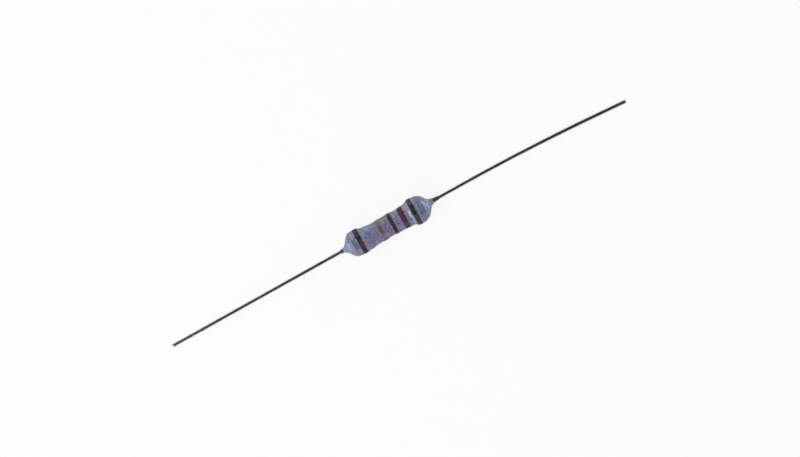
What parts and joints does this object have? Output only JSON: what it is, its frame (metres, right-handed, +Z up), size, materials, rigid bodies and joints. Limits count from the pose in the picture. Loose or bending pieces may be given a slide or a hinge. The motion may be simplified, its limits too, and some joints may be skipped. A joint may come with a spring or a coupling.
{
  "type": "axial resistor",
  "caption": "Axial metal-film resistor: a dog-bone body in dipped blue-grey lacquer with painted value rings, and a tinned wire lead out of each end.",
  "frame": {"origin": "on the surface that the part lies on, under the middle of its overall length", "axes": "+X along the body's axis, towards the end with the first colour band, +Z up"},
  "size_m": [0.082, 0.0044, 0.0045],
  "materials": {
    "lacquer": "glossy dipped lacquer",
    "brown_paint": "satin paint",
    "red_paint": "satin paint",
    "black_paint": "satin paint",
    "gold_paint": "dull metallic paint",
    "tinned_wire": "tinned",
    "cap_steel": "tinned pressed steel",
    "film": "satin sputtered metal",
    "rod_ceramic": "matt alumina"
  },
  "bodies": {
    "root": {"ceramic_rod": "rod_ceramic", "resistive_film": "film", "end_cap_left": "cap_steel", "end_cap_right": "cap_steel", "lead_left": "tinned_wire", "lead_right": "tinned_wire", "lacquer_coat": "lacquer", "band_digit_1": "brown_paint", "band_digit_2": "red_paint", "band_digit_3": "black_paint", "band_multiplier": "gold_paint", "band_tolerance": "brown_paint"}
  },
  "joints": []
}
